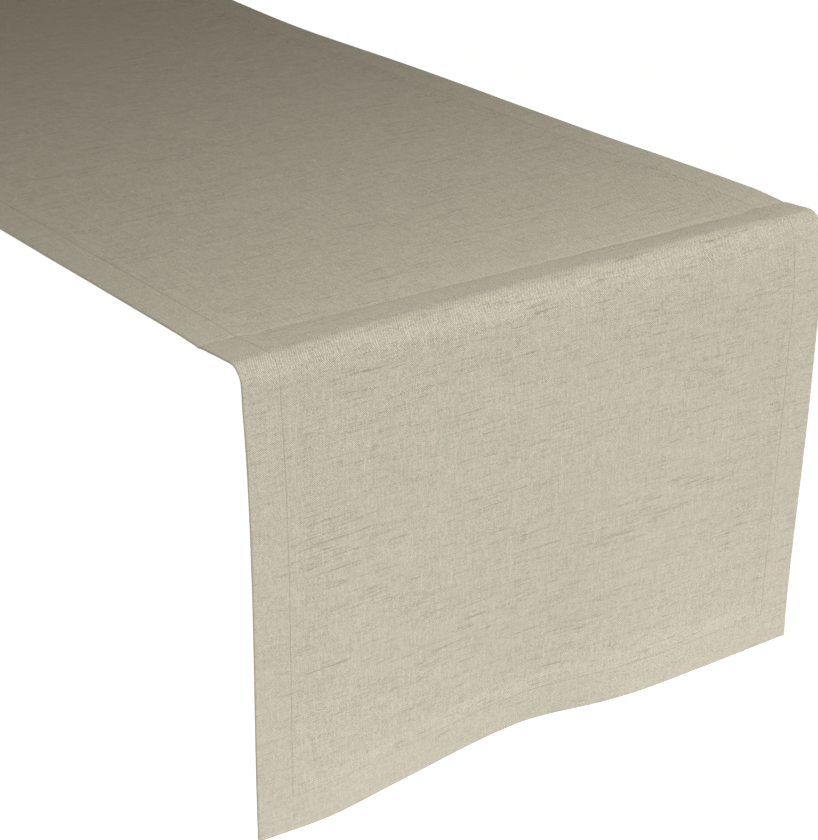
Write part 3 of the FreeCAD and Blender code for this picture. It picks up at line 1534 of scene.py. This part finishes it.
@dataclass
class Runner:
    """The whole runner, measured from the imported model."""

    near: Lie = Lie(
        ridge=(1.7 * MM, 3.2 * MM, 1.1 * MM),
        swollen=(136 * MM, 40 * MM, 2.7 * MM),
        crest=(8 * MM, 5 * MM, -2 * MM),
        turn_radius=(8 * MM, 10.5 * MM, 4.5 * MM),
        ridge_fall=(26 * MM, 90 * MM),
        crease=(40 * MM, 26 * MM),
        swell=(0.5 * MM, 1.2 * MM),
        belly=(4.9 * MM, 9.0 * MM),
        hem_tuck=15 * MM,
        tuck_place=-6 * MM,
        tuck_flanks=(62 * MM, 37 * MM),
        corner_lift=3.6 * MM,
        corner_place=-158 * MM,
        side_tuck=(-1.5 * MM, -1.0 * MM),
        seed=2.3,
    )
    far: Lie = Lie(
        ridge=(2.0 * MM, 2.6 * MM, 1.6 * MM),
        swollen=(-90 * MM, 50 * MM, 0.8 * MM),
        ridge_fall=(60 * MM, 30 * MM),
        crease=(30 * MM, 42 * MM),
        swell=(1.2 * MM, 0.8 * MM),
        belly=(7.0 * MM, 6.0 * MM),
        hem_tuck=11 * MM,
        tuck_place=48 * MM,
        tuck_flanks=(50 * MM, 44 * MM),
        corner_lift=2.5 * MM,
        corner_place=-120 * MM,
        side_tuck=(-1.0 * MM, -2.0 * MM),
        seed=8.7,
    )
    strays: tuple[Stray, ...] = (
        Stray(Side.RIGHT, 0.60, 0.080, 4.4 * MM),
        Stray(Side.RIGHT, 0.46, 0.070, 1.8 * MM),
        Stray(Side.RIGHT, 0.07, 0.085, -7.2 * MM),
        Stray(Side.RIGHT, -0.35, 0.120, 2.5 * MM),
        Stray(Side.LEFT, -0.20, 0.150, 2.0 * MM),
        Stray(Side.LEFT, -0.55, 0.080, -2.5 * MM),
    )

    @staticmethod
    def measure() -> Cut:
        """Reads the cloth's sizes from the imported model.

        Returns:
            The cloth's flat sizes.
        """
        half_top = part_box("top_cloth")[1].x
        inner_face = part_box("near_drop_left_hem")[0].x
        return Cut(
            half_width=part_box("top_right_hem")[1].y,
            half_top=half_top,
            bend_radius=inner_face - half_top,
            drop=-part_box("near_drop_end_hem")[0].z,
        )

    def build(self) -> None:
        """Builds both halves."""
        cut = self.measure()
        linen = Linen(half_width=cut.half_width / MM, half_length=cut.half_length / MM).material()
        thread = SewingThread().material()
        for half, lie in ((Half.NEAR, self.near), (Half.FAR, self.far)):
            RunnerHalf(cut, half, lie, self.strays, linen, thread).build()


# ---------------------------------------------------------------- the studio


@dataclass
class Studio:
    """The plain room that the runner is shown in: floor, lights and camera.

    Lengths are in metres, but the lens and the sensor are in millimetres. The light is a soft square one
    in front of the near end, with its power in watts and its spread in degrees.
    """

    light_place: tuple[float, float, float] = (3.708, 0.480, 3.600)
    light_aim: tuple[float, float, float] = (1.844, 0.083, -0.213)
    light_size: float = 1.0
    light_power: float = 32.2
    light_spread: float = 37.3
    air_colour: tuple[float, float, float] = (1.0, 0.95, 0.83)
    air_strength: float = 0.280
    floor_level: float = -0.74
    floor_size: float = 60.0
    camera_place: tuple[float, float, float] = (1.62779, -0.78844, 0.48586)
    camera_forward: tuple[float, float, float] = (-0.74975, 0.52144, -0.40740)
    camera_right: tuple[float, float, float] = (0.57538, 0.81780, -0.01216)
    lens: float = 103.143
    sensor: float = 36.0
    sight: float = 200.0

    def build_floor(self) -> None:
        """Makes the floor."""
        bm = bmesh.new()
        bmesh.ops.create_grid(bm, x_segments=1, y_segments=1, size=self.floor_size / 2)
        bmesh.ops.translate(bm, verts=bm.verts, vec=(0, 0, self.floor_level))
        data = bpy.data.meshes.new("floor")
        bm.to_mesh(data)
        bm.free()
        floor = bpy.data.objects.new("floor", data)
        floor.data.materials.append(PaleFloor().material())
        bpy.context.scene.collection.objects.link(floor)

    def build_light(self) -> None:
        """Adds the soft square light in front of the near end."""
        data = bpy.data.lights.new("front_light", "AREA")
        data.shape = "SQUARE"
        data.size = self.light_size
        data.energy = self.light_power
        data.spread = math.radians(self.light_spread)
        place = Vector(self.light_place)
        aim = Vector(self.light_aim)
        lamp = bpy.data.objects.new("front_light", data)
        lamp.location = place
        lamp.rotation_euler = (aim - place).to_track_quat("-Z", "Y").to_euler()
        bpy.context.scene.collection.objects.link(lamp)

    def build_air(self) -> None:
        """Fills the room with even light and sets how bright colours are shown."""
        world = bpy.data.worlds.new("studio")
        world.use_nodes = True
        background = world.node_tree.nodes["Background"]
        background.inputs["Color"].default_value = (*self.air_colour, 1.0)
        background.inputs["Strength"].default_value = self.air_strength
        bpy.context.scene.world = world
        bpy.context.scene.view_settings.view_transform = "Standard"

    def build_camera(self) -> None:
        """Adds the camera."""
        forward = Vector(self.camera_forward).normalized()
        right = Vector(self.camera_right).normalized()
        up = right.cross(forward).normalized()
        turn = Matrix((right, up, -forward)).transposed().to_4x4()
        data = bpy.data.cameras.new("camera")
        data.lens = self.lens
        data.sensor_width = self.sensor
        data.sensor_fit = "AUTO"
        data.clip_end = self.sight
        camera = bpy.data.objects.new("camera", data)
        camera.matrix_world = Matrix.Translation(self.camera_place) @ turn
        bpy.context.scene.collection.objects.link(camera)
        bpy.context.scene.camera = camera

    def build(self) -> None:
        """Builds the room."""
        self.build_floor()
        self.build_light()
        self.build_air()
        self.build_camera()


def main() -> None:
    """Builds the studio and the runner."""
    logging.basicConfig(level=logging.INFO, format="%(name)s: %(message)s")
    Studio().build()
    Runner().build()


if __name__ == "__main__":
    main()
